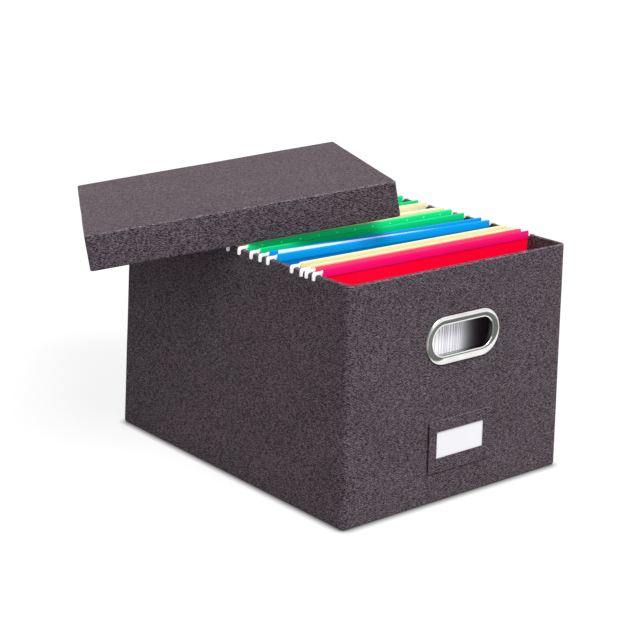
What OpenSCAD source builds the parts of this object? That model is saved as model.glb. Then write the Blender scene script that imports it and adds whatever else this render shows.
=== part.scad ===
// Portable file box: covered boards, two chrome hand holes, a label holder, a row of hanging
// folders on the rims of its long walls, and a lift-off lid lying askew on the folders' flaps.
// Millimetres. X runs across the handle ends, Y runs from the front end to the back end, Z is up.
// The origin is the middle of the underside of the box.

/* [Box] */
// Width of the box at its foot, across a handle end
box_w = 318; // [290:1:350]
// Length of the box at its foot, from one handle end to the other
box_l = 394; // [370:1:450]
// Height of the rim
box_h = 256; // [230:1:290]
// How far each long wall leans in at the rim
lean_w = 3; // [0:0.5:8]
// How far each handle end leans in at the rim
lean_l = 7; // [0:0.5:12]

/* [Boards and fabric] */
// Thickness of the boards in the walls and in the lid
board_t = 2.8; // [2:0.1:4]
// Thickness of the board in the floor
floor_t = 3; // [2:0.1:5]
// Thickness of the fabric outside
cover_t = 0.6; // [0.4:0.1:1]
// Thickness of the lining inside
lining_t = 0.6; // [0.4:0.1:1]
// How far the outer fabric is turned in below the rim
turn_in = 22; // [10:1:40]

/* [Hand holes] */
// Clear width of a hand hole
hole_w = 87; // [75:1:110]
// Clear height of a hand hole
hole_h = 32.4; // [28:0.2:44]
// Height from the middle of a hand hole up to the rim
hole_drop = 77.6; // [60:0.2:95]
// How far a hand hole sits to the right of the middle, seen from outside
hole_shift = 2.6; // [-10:0.2:10]
// Width of the chrome flange round a hand hole
flange_w = 10; // [8:0.5:14]
// How far the flange stands out of the wall
flange_t = 4.4; // [3:0.1:6]
// Thickness of the sleeve that passes through the wall
sleeve_t = 1.2; // [0.8:0.1:2]
// Width of the ring that holds the sleeve inside
clip_w = 6; // [4:0.5:9]
// Thickness of that ring
clip_t = 1.8; // [1.2:0.1:3]

/* [Label holder] */
// Width of the label holder
label_w = 93.5; // [80:0.5:110]
// Height of the label holder
label_h = 57.5; // [50:0.5:66]
// Thickness of the label holder
label_t = 1.9; // [1.5:0.1:3]
// Height of its middle above the foot
label_z = 62; // [45:1:75]
// Width of the window over the card
window_w = 68.8; // [50:0.2:75]
// Height of the window over the card
window_h = 29.2; // [20:0.2:34]
// How far the window sits above the middle of the holder
window_up = 1.3; // [0:0.1:3]
// How far the card reaches past the window on each side
card_lap = 5; // [3:0.5:6]
// Thickness of the card
card_t = 0.5; // [0.3:0.1:0.8]

/* [Lid] */
// Height of the lid
lid_h = 38; // [30:1:60]
// Gap between the lid and the foot of the box
lid_gap = 2; // [0.5:0.1:4]
// How far the lid is turned from the box, where it lies askew
lid_yaw = -31.5; // [-36:0.5:-27]

/* [Folders] */
// Gap between a folder's end and the long wall at the rim
flap_gap = 3.25; // [1.5:0.25:5]
// Gap between a folder's fold and the floor
fold_gap = 18; // [8:1:30]
// Thickness of a folder's sheet
sheet_t = 0.8; // [0.4:0.1:1.2]
// Height of the hem that the rod runs in
hem_h = 9; // [8:0.5:12]
// Thickness of the hem
hem_t = 2.6; // [2.2:0.1:3]
// Height of the rod
rod_h = 3.7; // [3:0.1:4.2]
// Thickness of the rod and its hooks
rod_t = 1.2; // [0.8:0.1:1.4]
// How far the top of the flaps stands above the rim
flap_rise = 4.8; // [4.4:0.1:6]
// How far the top of the hooks stands above the rim
hook_rise = 2.5; // [2:0.1:3.5]
// How far the tip of a hook hangs below the rim
hook_drop = 5.4; // [4:0.1:9]
// Gap between the wall and the hanging tip of a hook
hook_gap = 2.1; // [0.5:0.1:2.4]
// Width of the hook's hanging tip
tip_w = 2.6; // [2:0.1:4]

/* [Papers] */
// Width of the loose sheets behind the front hand hole
loose_w = 218; // [140:1:280]
// Height of the loose sheets
loose_h = 216; // [200:1:222]
// Thickness of the bundle of loose sheets
loose_t = 14; // [4:1:20]
// Width of the papers in the folders
paper_w = 279; // [240:1:290]
// Thickness of the papers in a folder
paper_t = 0.8; // [0.5:0.1:1.2]

/* [Hidden] */
$fn = 48;

// Where each folder's front and back flap hang, as shares of the rail from front to back, and
// how far the folder is turned on the rims
RED = [0.1237, 0.1543, 0];
CREAM = [0.1726, 0.2137, -0.35];
BLUE = [0.3007, 0.3368, -2.45];
GREEN = [0.3935, 0.4478, 0];
TAN = [0.488, 0.5722, -1.3];
LIME = [0.6032, 0.6766, -0.8];
REAR = [0.9282, 0.9954, 0];

fabric_colour = [0.27, 0.25, 0.27];
board_colour = [0.62, 0.58, 0.52];
lining_colour = [0.2, 0.19, 0.2];
red_colour = [0.93, 0.07, 0.25];
cream_colour = [0.93, 0.86, 0.66];
blue_colour = [0.02, 0.47, 0.82];
green_colour = [0.0, 0.65, 0.35];

seat_gap = 0.3;      // gap where one piece rests on a piece of another body
slide_gap = 0.15;    // gap round the sliding card and round a rod in its hem
rest_gap = 0.5;      // gap from the lid to the flaps that it lies on
glue_t = 0.02;       // glue between a wall's board and the fabric or lining on it
over = 1;            // how far a cut runs past the face that it opens
wall_t = cover_t + board_t + lining_t;
board_in = cover_t + board_t;
base_t = cover_t;
floor_z = base_t + floor_t + lining_t;
lean_angle = atan(lean_l / box_h);
rim_x = side_x(box_h, 0);
rail_l = 2 * side_y(box_h, wall_t);
hole_z = box_h - hole_drop;
cut_r = hole_h / 2 + sleeve_t + seat_gap;
cut_w = hole_w + 2 * (sleeve_t + seat_gap);
flap_w = 2 * (side_x(box_h, wall_t) - flap_gap);
flap_top = box_h + flap_rise;
hook_top = box_h + hook_rise;
hem_wall = (hem_t - rod_t) / 2;
fold_z = floor_z + fold_gap;
card_w = window_w + 2 * card_lap;
card_h = window_h + 2 * card_lap;
pocket_t = card_t + 2 * slide_gap;
lid_w = box_w + 2 * (lid_gap + wall_t);
lid_l = box_l + 2 * (lid_gap + wall_t);

// Half width and half length of the box at height z, in from its outer face by inset
function side_x(z, inset) = box_w / 2 - lean_w * z / box_h - inset;
function side_y(z, inset) = box_l / 2 - lean_l * z / box_h - inset;
// The four corners of the box at height z, counter-clockwise from the front left one
CORNERS = [[-1, -1], [1, -1], [1, 1], [-1, 1]];
function corner(k, z, inset) =
    [CORNERS[k % 4][0] * side_x(z, inset), CORNERS[k % 4][1] * side_y(z, inset), z];
// Where a share of the rail lies along Y
function rail_y(share) = (share - 0.5) * rail_l;
function unit(v) = v / norm(v);

// The lid lies on the ends of three flaps: its front skirt on the left end of the green folder's
// back flap, its right skirt on the right end of the rear folder's front flap, and the underside
// of its top on the left end of the rear folder's back flap. These three points set its tilt.
rest_z = flap_top + rest_gap;
rest_a = [-flap_w / 2, rail_y(GREEN[1]), rest_z];
rest_b = [flap_w / 2, rail_y(REAR[0]), rest_z];
rest_c = [-flap_w / 2, rail_y(REAR[1]), rest_z];
lid_inside = lid_h - wall_t;
span_dir = unit(rest_b - rest_a);
reach = (rest_c - rest_a) - ((rest_c - rest_a) * span_dir) * span_dir;
tilt_sine = lid_inside / norm(reach);
lid_up = sqrt(1 - tilt_sine * tilt_sine) * cross(span_dir, unit(reach)) + tilt_sine * unit(reach);
yaw_dir = [cos(lid_yaw), sin(lid_yaw), 0];
lid_right = unit(yaw_dir - (yaw_dir * lid_up) * lid_up);
lid_away = cross(lid_up, lid_right);
lid_middle = lid_right * (rest_b * lid_right - lid_w / 2 + wall_t / 2)
    + lid_away * (rest_a * lid_away + lid_l / 2 - wall_t / 2)
    + lid_up * (rest_a * lid_up);
lid_turn = [
    atan2(lid_away[2], lid_up[2]),
    asin(-lid_right[2]),
    atan2(lid_right[1], lid_right[0])
];

// A solid with eight corners: four below and four above, each counter-clockwise from above
module brick(points) {
    polyhedron(points, [[0, 1, 2, 3], [4, 5, 1, 0], [7, 6, 5, 4], [5, 6, 2, 1], [6, 7, 3, 2], [7, 4, 0, 3]]);
}

// The leaning shape of the box between two heights, in from its outer face by inset
module box_block(z0, z1, inset) {
    brick([for (z = [z0, z1]) for (k = [0:3]) corner(k, z, inset)]);
}

// One mitred wall of the box: 0 front, 1 right, 2 back, 3 left
module box_wall(k, z0, z1, outer, inner) {
    brick([for (z = [z0, z1]) each [
        corner(k, z, outer), corner(k + 1, z, outer), corner(k + 1, z, inner), corner(k, z, inner)
    ]]);
}

// The outer face of a handle end: X across it, Z up along it and Y into the box
module on_end(back) {
    rotate([0, 0, back ? 180 : 0])
        translate([0, -box_l / 2, 0])
            rotate([-lean_angle, 0, 0])
                children();
}

// A hand hole's frame: Z out of the wall, from the middle of the hole
module at_hole(back) {
    on_end(back)
        translate([hole_shift, 0, hole_z / cos(lean_angle)])
            rotate([90, 0, 0])
                children();
}

// The opening cut through the wall for the sleeve
module hole_cut() {
    for (back = [false, true])
        at_hole(back)
            translate([0, 0, -wall_t - 4 * over])
                linear_extrude(wall_t + 8 * over)
                    stadium(cut_w, 2 * cut_r);
}

module stadium(w, h) {
    square([w - h, h], center = true);
    for (side = [-1, 1])
        translate([side * (w - h) / 2, 0])
            circle(h / 2);
}

// Sweeps a section, drawn as distance from the ring's inner line and height, round a stadium
module stadium_sweep(straight) {
    for (side = [0, 180])
        rotate([0, 0, side]) {
            translate([straight / 2, 0, 0])
                rotate([0, 0, -90])
                    rotate_extrude(angle = 180)
                        children();
            translate([-straight / 2, 0, 0])
                rotate([90, 0, 90])
                    linear_extrude(straight)
                        children();
        }
}

// Chrome flange with a rounded outer roll, a dished inner band and a sleeve through the wall
module grommet(back) {
    r = hole_h / 2;
    roll_w = 0.42 * flange_w;
    crown = r + flange_w - roll_w;
    lip_h = 0.45 * flange_t;
    color([0.8, 0.8, 0.82])
        at_hole(back)
            stadium_sweep(hole_w - hole_h)
                polygon(concat(
                    [[r, -wall_t - clip_t], [r, lip_h], [r + sleeve_t, lip_h + 0.4]],
                    [[r + 2 * sleeve_t, lip_h], [crown, flange_t]],
                    [for (a = [72:-18:0]) [crown + roll_w * cos(a), flange_t * sin(a)]],
                    [[r + sleeve_t, 0], [r + sleeve_t, -wall_t - clip_t]]
                ));
}

// Ring pressed over the end of the sleeve inside the box
module grommet_clip(back) {
    inner = hole_h / 2 + sleeve_t;
    color([0.6, 0.6, 0.62])
        at_hole(back)
            stadium_sweep(hole_w - hole_h)
                polygon([
                    [inner, -wall_t - clip_t], [inner, -wall_t], [inner + clip_w, -wall_t],
                    [inner + clip_w, -wall_t - clip_t / 2], [inner + clip_w - clip_t / 2, -wall_t - clip_t]
                ]);
}

module base_cover() {
    color(fabric_colour)
        box_block(0, base_t, 0);
}

module floor_board() {
    color(board_colour)
        box_block(base_t, base_t + floor_t, board_in);
}

module wall_board(k) {
    color(board_colour)
        difference() {
            box_wall(k, base_t, box_h - cover_t, cover_t + glue_t, board_in - glue_t);
            hole_cut();
        }
}

// Fabric round the four walls, over the rim and turned in below it
module outer_cover() {
    color(fabric_colour)
        difference() {
            box_block(base_t, box_h, 0);
            box_block(-over, box_h + over, wall_t);
            box_block(-over, box_h - turn_in, cover_t);
            difference() {
                box_block(-over, box_h - cover_t, cover_t);
                box_block(-2 * over, box_h, board_in);
            }
            hole_cut();
        }
}

// Lining of the four walls and the floor
module inner_lining() {
    color(lining_colour)
        difference() {
            box_block(base_t + floor_t, box_h - turn_in, board_in);
            box_block(floor_z, box_h, wall_t);
            hole_cut();
        }
}

// Frame of the label holder, with a window and a pocket that is open at the left
module label_holder() {
    pocket_w = label_w / 2 + card_w / 2 + slide_gap;
    color(fabric_colour)
        on_end(false)
            translate([0, 0, label_z])
                difference() {
                    translate([-label_w / 2, -label_t, -label_h / 2])
                        cube([label_w, label_t, label_h]);
                    translate([-window_w / 2, -label_t - over, window_up - window_h / 2])
                        cube([window_w, label_t + 2 * over, window_h]);
                    translate([-label_w / 2 - over, -pocket_t, window_up - card_h / 2 - slide_gap])
                        cube([pocket_w + over, pocket_t + over, card_h + 2 * slide_gap]);
                }
}

module label_card() {
    color("white")
        on_end(false)
            translate([-card_w / 2, -slide_gap - card_t, label_z + window_up - card_h / 2])
                cube([card_w, card_t, card_h]);
}

// The lid's frame: Z out of its top, from the middle of its lower edge
module on_lid() {
    translate(lid_middle)
        rotate(lid_turn)
            children();
}

// A box of the lid's plan, in from its outer face by inset, between two heights
module lid_block(z0, z1, inset) {
    translate([-lid_w / 2 + inset, -lid_l / 2 + inset, z0])
        cube([lid_w - 2 * inset, lid_l - 2 * inset, z1 - z0]);
}

module lid_top_board() {
    color(board_colour)
        on_lid()
            lid_block(lid_h - cover_t - board_t, lid_h - cover_t, cover_t);
}

// One mitred skirt board of the lid: 0 front, 1 right, 2 back, 3 left
module lid_skirt_board(k) {
    function at(i, inset, z) =
        [CORNERS[i % 4][0] * (lid_w / 2 - inset), CORNERS[i % 4][1] * (lid_l / 2 - inset), z];
    color(board_colour)
        on_lid()
            brick([for (z = [cover_t + glue_t, lid_h - cover_t - board_t - glue_t]) each [
                at(k, cover_t + glue_t, z), at(k + 1, cover_t + glue_t, z),
                at(k + 1, board_in - glue_t, z), at(k, board_in - glue_t, z)
            ]]);
}

// Fabric over the lid's top and skirts, round their lower edge and turned in to the top board
module lid_cover() {
    color(fabric_colour)
        on_lid()
            difference() {
                lid_block(0, lid_h, 0);
                lid_block(-over, lid_h - cover_t - board_t, wall_t);
                lid_block(lid_h - cover_t - board_t, lid_h - cover_t, cover_t);
                difference() {
                    lid_block(cover_t, lid_h - cover_t, cover_t);
                    lid_block(0, lid_h, board_in);
                }
            }
}

// Lining under the lid's top board
module lid_lining() {
    color(lining_colour)
        on_lid()
            lid_block(lid_inside, lid_inside + lining_t, wall_t);
}

// Turns what hangs in one folder about the middle of its fold
module on_rims(place) {
    fold_y = (rail_y(place[0]) + rail_y(place[1])) / 2;
    translate([0, fold_y, 0])
        rotate([0, 0, place[2]])
            translate([0, -fold_y, 0])
                children();
}

// A hanging folder: one sheet folded at its foot, each flap with a hem that a rod runs in
module folder(shares, tint) {
    y0 = rail_y(shares[0]);
    y1 = rail_y(shares[1]);
    fold_y = (y0 + y1) / 2;
    hem_z = flap_top - hem_h;
    slot_t = rod_t + 2 * slide_gap;
    color(tint)
        on_rims(shares)
            translate([-flap_w / 2, 0, 0])
                rotate([90, 0, 90])
                    linear_extrude(flap_w)
                        difference() {
                            polygon([
                                [fold_y - sheet_t / 2, fold_z], [fold_y + sheet_t / 2, fold_z],
                                [y1 + sheet_t / 2, hem_z], [y1 + hem_t / 2, hem_z],
                                [y1 + hem_t / 2, flap_top], [y1 - hem_t / 2, flap_top],
                                [y1 - hem_t / 2, hem_z], [y1 - sheet_t / 2, hem_z],
                                [fold_y, v_height(shares, 0)],
                                [y0 + sheet_t / 2, hem_z], [y0 + hem_t / 2, hem_z],
                                [y0 + hem_t / 2, flap_top], [y0 - hem_t / 2, flap_top],
                                [y0 - hem_t / 2, hem_z], [y0 - sheet_t / 2, hem_z]
                            ]);
                            for (y = [y0, y1])
                                translate([y - slot_t / 2, flap_top - hem_wall - rod_h - slide_gap])
                                    square([slot_t, rod_h + 2 * slide_gap]);
                        }
}

// Height at which the space between a folder's flaps is as wide as gap
function v_height(shares, gap) =
    fold_z + (flap_top - hem_h - fold_z) * (sheet_t + gap) / (rail_y(shares[1]) - rail_y(shares[0]));

// The two rods of a folder, each a flat strip with a hook over the rim at both ends
module rods(shares) {
    color("white")
        on_rims(shares)
            for (k = [0, 1])
                translate([0, rail_y(shares[k]) + rod_t / 2, 0])
                    rotate([90, 0, 0])
                        linear_extrude(rod_t)
                            polygon(concat(HOOK, [for (i = [len(HOOK) - 1:-1:0]) [-HOOK[i][0], HOOK[i][1]]]));
}

// Half of a rod's outline, from the end of the strip in the hem over the rim, down to the tip and
// back to the shoulder inside the wall
flap_end = flap_w / 2;
strip_top = flap_top - hem_wall;
shoulder_x = side_x(box_h, wall_t) - 2 * seat_gap;
shoulder_z = box_h - 0.3 * hook_drop;
arch_z = box_h + seat_gap;
tip_in = rim_x + hook_gap;
tip_out = tip_in + tip_w;
tip_z = box_h - hook_drop;
HOOK = [
    [flap_end + 0.3, strip_top], [flap_end + 0.3 + strip_top - hook_top, hook_top],
    [tip_out - 2.4, hook_top], [tip_out - 1.3, hook_top - 0.35], [tip_out - 0.4, hook_top - 1.2],
    [tip_out, hook_top - 2.4], [tip_out, tip_z + 0.3 * tip_w],
    [tip_out - 0.3 * tip_w, tip_z], [tip_in + 0.3 * tip_w, tip_z], [tip_in, tip_z + 0.3 * tip_w],
    [tip_in, arch_z - 0.9], [tip_in - 0.9, arch_z], [shoulder_x + 0.4, arch_z],
    [shoulder_x, arch_z - 0.4], [shoulder_x, shoulder_z + 0.4], [shoulder_x - 0.4, shoulder_z],
    [flap_end + 0.7, shoulder_z], [flap_end + 0.3, shoulder_z + 0.4],
    [flap_end + 0.3, strip_top - rod_h]
];

// Papers in a folder, standing in its fold. Each end leans on the front flap at 0 and on the
// back flap at 1.
module papers(shares, left, right) {
    x = paper_w / 2;
    y0 = rail_y(shares[0]) + hem_t / 2 + seat_gap;
    y1 = rail_y(shares[1]) - hem_t / 2 - seat_gap - paper_t;
    low_y = (y0 + y1) / 2;
    low_z = v_height(shares, paper_t + 2 * seat_gap);
    high_z = flap_top - 1;
    a = y0 + left * (y1 - y0);
    b = y0 + right * (y1 - y0);
    color("white")
        on_rims(shares)
            polyhedron([
                [-x, low_y, low_z], [x, low_y, low_z], [x, low_y + paper_t, low_z], [-x, low_y + paper_t, low_z],
                [-x, a, high_z], [x, b, high_z], [x, b + paper_t, high_z], [-x, a + paper_t, high_z]
            ], [
                [0, 1, 2, 3], [7, 6, 5, 4], [5, 6, 2, 1], [7, 4, 0, 3],
                [4, 5, 1], [4, 1, 0], [6, 7, 2], [7, 3, 2]
            ]);
}

// Sheets standing on the floor behind the front hand hole, pushed to the left wall
module loose_sheets() {
    y = -side_y(floor_z, wall_t) + 12;
    color("white")
        translate([-side_x(0, wall_t) + 8, y, floor_z])
            cube([loose_w, loose_t, loose_h]);
}

base_cover();
floor_board();
wall_board(0);  // front_board
wall_board(1);  // right_board
wall_board(2);  // back_board
wall_board(3);  // left_board
outer_cover();
inner_lining();
grommet(false);  // front_grommet
grommet_clip(false);  // front_grommet_clip
grommet(true);  // back_grommet
grommet_clip(true);  // back_grommet_clip
label_holder();
label_card();
lid_top_board();
lid_skirt_board(0);  // lid_front_board
lid_skirt_board(1);  // lid_right_board
lid_skirt_board(2);  // lid_back_board
lid_skirt_board(3);  // lid_left_board
lid_cover();
lid_lining();
loose_sheets();
folder(RED, red_colour);  // red_folder
rods(RED);  // red_rods
folder(CREAM, cream_colour);  // cream_folder
rods(CREAM);  // cream_rods
folder(BLUE, blue_colour);  // blue_folder
rods(BLUE);  // blue_rods
papers(BLUE, 0.85, 0);  // blue_file
folder(GREEN, green_colour);  // green_folder
rods(GREEN);  // green_rods
folder(TAN, cream_colour);  // tan_folder
rods(TAN);  // tan_rods
papers(TAN, 0, 0);  // tan_file
folder(LIME, green_colour);  // lime_folder
rods(LIME);  // lime_rods
folder(REAR, blue_colour);  // rear_folder
rods(REAR);  // rear_rods
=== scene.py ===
import math

import bmesh
import bpy
from mathutils import Matrix, Vector, noise


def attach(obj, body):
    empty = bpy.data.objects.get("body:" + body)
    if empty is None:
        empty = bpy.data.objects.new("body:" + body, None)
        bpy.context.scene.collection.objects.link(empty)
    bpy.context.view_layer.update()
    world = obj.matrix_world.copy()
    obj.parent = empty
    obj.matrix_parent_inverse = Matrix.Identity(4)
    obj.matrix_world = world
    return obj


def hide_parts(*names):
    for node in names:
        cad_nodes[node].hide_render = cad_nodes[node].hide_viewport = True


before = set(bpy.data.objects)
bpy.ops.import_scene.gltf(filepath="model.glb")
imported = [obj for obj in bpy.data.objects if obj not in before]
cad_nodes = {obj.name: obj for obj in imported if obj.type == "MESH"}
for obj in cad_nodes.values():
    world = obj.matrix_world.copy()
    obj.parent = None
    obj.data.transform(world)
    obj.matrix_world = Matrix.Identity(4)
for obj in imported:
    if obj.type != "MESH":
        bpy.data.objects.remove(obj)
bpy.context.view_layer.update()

# Sizes in millimetres. They are those of the part's source, but for the label's place, the rise of
# the hooks and the width of their tips, which are nearer to the photo here. Pieces are built in
# millimetres and scaled once.
BOX_W, BOX_L, BOX_H = 318.0, 394.0, 256.0
LEAN_W, LEAN_L = 3.0, 7.0
COVER_T, BOARD_T, WALL_T = 0.6, 2.8, 4.0
TURN_IN = 22.0
HOLE_W, HOLE_H, HOLE_DROP, HOLE_SHIFT = 87.0, 32.4, 77.6, 2.6
CLIP_T = 1.8
LABEL_W, LABEL_H, LABEL_T, LABEL_X, LABEL_Z = 93.5, 57.5, 1.9, 3.0, 63.9
WINDOW_W, WINDOW_H, WINDOW_UP = 68.8, 29.2, 1.3
CARD_LAP, CARD_T = 5.0, 0.5
LID_H, LID_YAW, LID_GAP = 38.0, -31.5, 2.0
FLAP_GAP, FLAP_RISE, HEM_H, HEM_T, SHEET_T = 3.25, 4.8, 9.0, 2.6, 0.8
ROD_H, ROD_T, HOOK_RISE, HOOK_DROP, HOOK_GAP, TIP_W = 3.7, 1.2, 3.2, 5.4, 2.1, 3.4
PAPER_W, PAPER_T = 279.0, 0.8
REST_GAP, SEAT_GAP = 0.5, 0.3
FLOOR_Z, FOLD_GAP = 4.2, 18.0
LEAN = math.atan(LEAN_L / BOX_H)
RIM_X = BOX_W / 2 - LEAN_W
RAIL_L = BOX_L - 2 * LEAN_L - 2 * WALL_T
FLAP_W = 2 * (RIM_X - WALL_T - FLAP_GAP)
FLAP_TOP, HOOK_TOP = BOX_H + FLAP_RISE, BOX_H + HOOK_RISE
FOLD_Z, HEM_Z = FLOOR_Z + FOLD_GAP, FLAP_TOP - HEM_H
LID_W, LID_L = BOX_W + 2 * (LID_GAP + WALL_T), BOX_L + 2 * (LID_GAP + WALL_T)

# How the cloth rounds the box and the lid, how uneven it is, and how the boards inside follow
BOX_ROUND, LID_ROUND, BOX_BOARD_ROUND, LID_BOARD_ROUND = 6.0, 4.6, 5.4, 4.0
RIM_ROLL, LID_ROLL, FOOT_ROLL = 1.6, 1.5, 4.0
CLOTH_T, BOX_SWELL, LID_SWELL, BOARD_GAP = COVER_T - 0.05, 0.16, 0.3, 0.04

# At the foot: where the walls' cloth, the floor's cloth and the boards start, how far the first
# turns in under the box, and how far the second stays inside it
COVER_FOOT, BASE_FOOT, BOARD_FOOT = 0.08, 0.06, 3.7
FOOT_TURN, BASE_INSET = 5.0, 5.2

# Where each folder's flaps hang, as shares of the rail from front to back, and its turn on the rims
FOLDERS = {
    "red": (0.1237, 0.1543, 0.0),
    "cream": (0.1726, 0.2137, -0.35),
    "blue": (0.3007, 0.3368, -2.45),
    "green": (0.3935, 0.4478, 0.0),
    "tan": (0.488, 0.5722, -1.3),
    "lime": (0.6032, 0.6766, -0.8),
    "rear": (0.9282, 0.9954, 0.0),
}

# A box's walls in order, the corner that each one starts at, and its way to the opposite wall
WALLS = ("front_board", "right_board", "back_board", "left_board")
CORNERS = ((-1, -1), (1, -1), (1, 1), (-1, 1))
WAYS_ACROSS = ((0, 1, 0), (-1, 0, 0), (0, -1, 0), (1, 0, 0))

# A grommet's section: distance out from the opening, height above the wall and how deep its
# painted shade is, with painted streaks in the sleeve, a painted grey line on the roll and a
# painted shadow at its outer edge
RING_SECTION = [
    (0.0, -WALL_T - CLIP_T + 0.3, 0.9), (0.0, -3.8, 0.95), (0.0, -2.4, 0.3), (0.0, -0.8, 1),
    (0.0, 0.3, 0.8), (0.1, 0.95, 0), (0.5, 1.45, 0), (1.0, 1.45, 0), (1.4, 1.15, 0), (1.8, 1.0, 0),
    (2.4, 1.05, 0), (3.1, 1.15, 0), (3.8, 1.3, 0), (4.5, 1.5, 0), (5.2, 1.74, 0), (5.8, 1.98, 0),
    (6.5, 2.25, 0), (7.3, 2.42, 0.12), (8.0, 2.35, 0.2), (8.8, 1.95, 0.05),
    (9.45, 1.3, 0.15), (9.85, 0.6, 0.75), (10.0, 0.05, 1),
    (1.15, 0.05, 1), (1.15, -WALL_T - CLIP_T, 0), (0.4, -WALL_T - CLIP_T, 0),
]
LIP_Z, LIP_CREST, LIP_END, OUTER_RIM = 0.9, 1.1, 1.4, 8.4

# Where the right edges of the loose sheets lie behind the front hand hole, from the front sheet
# back, the heights that divide each sheet, and the painted shade that grows towards the right
SHEET_EDGES = (-33, -26, -20, -15.5, -11.5, -9, -6, -1.5, 3, 6.5, 9, 12.5, 15.5, 60)
SHEET_LEVELS = (150, 172, 196)
SHADE_START, SHADE_REACH, SHADE_POWER = 13.5, 46, 4.9
# The dark board behind the sheets, which stands in for shade
SHADE_BACKING_W, SHADE_BACKING_T, SHADE_BACKING_H = 217.6, 0.6, 215.2

# The folders' and files' sheets, the eyelets in a hem, and how much deeper a hook is than its rod
FOLDER_SHEET_T, FILE_SHEET_T, LOOSE_SHEET_T = 0.45, 0.19, 0.22
FILE_SHEETS, DOTS, DOT_STEP, HOOK_DEPTH = 4, 11, 26, 1.7


def clamp(value, low=0.0):
    """A value kept between a low one and 1."""
    return min(1.0, max(low, value))


def side_x(z, inset=0.0):
    return BOX_W / 2 - LEAN_W * z / BOX_H - inset


def side_y(z, inset=0.0):
    return BOX_L / 2 - LEAN_L * z / BOX_H - inset


def flap_places(colour):
    """Where a folder's front and back flap hang along Y."""
    return [(share - 0.5) * RAIL_L for share in FOLDERS[colour][:2]]


def end_matrix(back):
    """The outer face of a handle end: X across it, Z up along it and Y into the box."""
    turn = Matrix.Rotation(math.pi if back else 0.0, 4, "Z")
    return turn @ Matrix.Translation((0, -BOX_L / 2, 0)) @ Matrix.Rotation(-LEAN, 4, "X")


def hole_matrix(back):
    """A hand hole's frame: Z out of the wall, from the middle of the hole."""
    up = Matrix.Translation((HOLE_SHIFT, 0, (BOX_H - HOLE_DROP) / math.cos(LEAN)))
    return end_matrix(back) @ up @ Matrix.Rotation(math.pi / 2, 4, "X")


def lid_matrix():
    """The lid's frame, from the three flap ends it lies on.

    Z points out of its top, from the middle of its lower edge.
    """
    rest_z = FLAP_TOP + REST_GAP
    front, back = flap_places("rear")
    rest_a = Vector((-FLAP_W / 2, flap_places("green")[1], rest_z))
    rest_b = Vector((FLAP_W / 2, front, rest_z))
    rest_c = Vector((-FLAP_W / 2, back, rest_z))
    span = (rest_b - rest_a).normalized()
    reach = (rest_c - rest_a) - (rest_c - rest_a).dot(span) * span
    sine = (LID_H - WALL_T) / reach.length
    reach.normalize()
    up = math.sqrt(1 - sine * sine) * span.cross(reach) + sine * reach
    yaw = math.radians(LID_YAW)
    heading = Vector((math.cos(yaw), math.sin(yaw), 0))
    right = (heading - heading.dot(up) * up).normalized()
    away = up.cross(right)
    middle = (
        right * (rest_b.dot(right) - LID_W / 2 + WALL_T / 2)
        + away * (rest_a.dot(away) + LID_L / 2 - WALL_T / 2)
        + up * rest_a.dot(up)
    )
    return Matrix.Translation(middle) @ Matrix((right, away, up)).transposed().to_4x4()


# Shader building ------------------------------------------------------------------------------


def tint(red, green, blue):
    """A colour from 0 to 255, as it shows on a screen, in the linear values a shader takes."""
    shares = [c / 255 for c in (red, green, blue)]
    return tuple(s / 12.92 if s <= 0.04 else ((s + 0.055) / 1.055) ** 2.4 for s in shares) + (1.0,)


def new_group(name, inputs, outputs):
    group = bpy.data.node_groups.new(name, "ShaderNodeTree")
    for label, kind, default in inputs:
        socket = group.interface.new_socket(label, in_out="INPUT", socket_type=kind)
        if default is not None:
            socket.default_value = default
    for label, kind in outputs:
        group.interface.new_socket(label, in_out="OUTPUT", socket_type=kind)
    return group, group.nodes.new("NodeGroupInput").outputs, group.nodes.new("NodeGroupOutput").inputs


def add(tree, kind, inputs, **settings):
    """A node with its settings. Each input, by socket name or index, is a value or a socket to link."""
    node = tree.nodes.new(kind)
    for key, value in settings.items():
        setattr(node, key, value)
    for key, value in inputs.items():
        if isinstance(value, bpy.types.NodeSocket):
            tree.links.new(value, node.inputs[key])
        else:
            node.inputs[key].default_value = value
    return node


def calc(tree, operation, *values, clamped=False):
    sockets = dict(enumerate(values))
    return add(tree, "ShaderNodeMath", sockets, operation=operation, use_clamp=clamped).outputs[0]


def mix(tree, factor, first, second, blend="MIX"):
    sockets = {0: factor, 6: first, 7: second}
    return add(tree, "ShaderNodeMix", sockets, data_type="RGBA", blend_type=blend).outputs[2]


def shift(tree, value, low, high, out_low=0.0, out_high=1.0):
    sockets = {"Value": value, "From Min": low, "From Max": high, "To Min": out_low, "To Max": out_high}
    return add(tree, "ShaderNodeMapRange", sockets).outputs[0]


def painted(tree, name):
    """A value painted on a piece's mesh."""
    return add(tree, "ShaderNodeAttribute", {}, attribute_name=name).outputs["Fac"]


def grain(tree, vector, scale, detail=2.0, roughness=0.5):
    """Noise stretched by a scale along each axis."""
    mapped = add(tree, "ShaderNodeMapping", {"Vector": vector, "Scale": scale}).outputs[0]
    sockets = {"Vector": mapped, "Scale": 1.0, "Detail": detail, "Roughness": roughness}
    return add(tree, "ShaderNodeTexNoise", sockets).outputs[0]


def shade(tree, colour, gain):
    """A colour made lighter or darker by a gain that changes over the surface."""
    grey = add(tree, "ShaderNodeCombineColor", {0: gain, 1: gain, 2: gain}).outputs[0]
    return mix(tree, 1.0, colour, grey, "MULTIPLY")


def ramp(tree, value, stops):
    node = add(tree, "ShaderNodeValToRGB", {0: value})
    while len(node.color_ramp.elements) < len(stops):
        node.color_ramp.elements.new(0.5)
    for element, (place, colour) in zip(node.color_ramp.elements, stops):
        element.position = place
        element.color = colour
    return node.outputs[0]


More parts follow.
